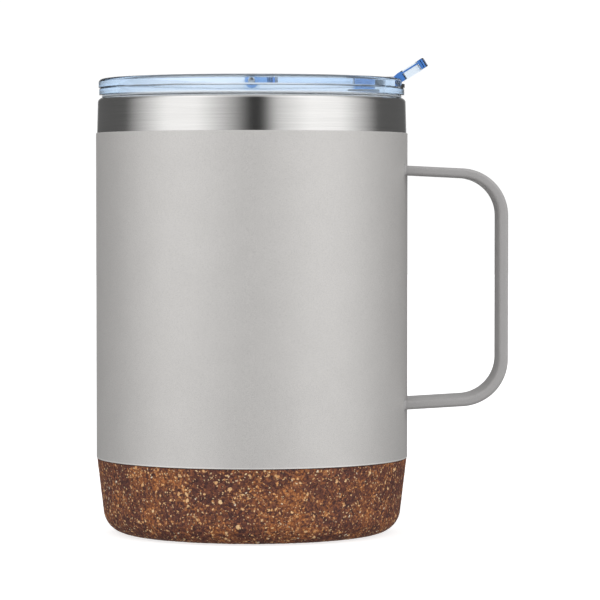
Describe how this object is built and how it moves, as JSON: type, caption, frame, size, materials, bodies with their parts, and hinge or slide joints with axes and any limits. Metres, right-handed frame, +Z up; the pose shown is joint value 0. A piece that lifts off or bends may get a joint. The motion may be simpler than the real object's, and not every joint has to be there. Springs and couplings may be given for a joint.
{
  "type": "insulated camp mug",
  "caption": "Double-walled steel mug with a strap handle and a cork base, closed by a clear press-in lid whose sip hole has a flip tab.",
  "frame": {"origin": "centre of the cork's flat underside, on the mug's axis", "axes": "+Z up along the mug's axis, +X towards the handle and the tab's thumb end, the XZ plane is the mirror plane"},
  "size_m": [0.1133, 0.086, 0.1306],
  "materials": {
    "powder_coat": "grey thermoset powder coat, fine eggshell texture",
    "coated_steel": "steel under the same grey powder coat",
    "brushed_steel": "bare stainless steel, brushed round the body",
    "liner_steel": "stainless steel, satin",
    "getter_can": "plain pressed can",
    "pin_steel": "drawn wire",
    "foil": "bright foil",
    "solder_glass": "fused bead",
    "cork": "dark pressed cork with light granules",
    "adhesive": "cured glue",
    "clear_plastic": "clear moulded plastic, faint blue",
    "silicone": "translucent silicone"
  },
  "bodies": {
    "mug": {"outer_shell": "brushed_steel", "inner_liner": "liner_steel", "shell_bottom": "liner_steel", "vacuum_seal": "solder_glass", "getter_capsule": "getter_can", "radiation_foil": "foil", "powder_coat": "powder_coat", "handle": "coated_steel", "handle_welds": "coated_steel", "cork_base": "cork", "base_adhesive": "adhesive"},
    "seal_ring": {"lid_gasket": "silicone"},
    "lid": {"lid_body": "clear_plastic", "hinge_pin": "pin_steel"},
    "tab": {"flip_tab": "clear_plastic", "sip_plug": "silicone"}
  },
  "joints": [
    {"name": "lid_lift", "type": "slide", "parent": "mug", "child": "seal_ring", "axis": [0, 0, 1], "range_m": [0, 0.05]},
    {"name": "lid_turn", "type": "hinge", "parent": "seal_ring", "child": "lid", "pos_m": [0, 0, 0.119], "axis": [0, 0, 1], "continuous": true},
    {"name": "tab_flip", "type": "hinge", "parent": "lid", "child": "tab", "pos_m": [0, 0, 0.1236], "axis": [0, -1, 0], "range_deg": [0, 165]}
  ]
}
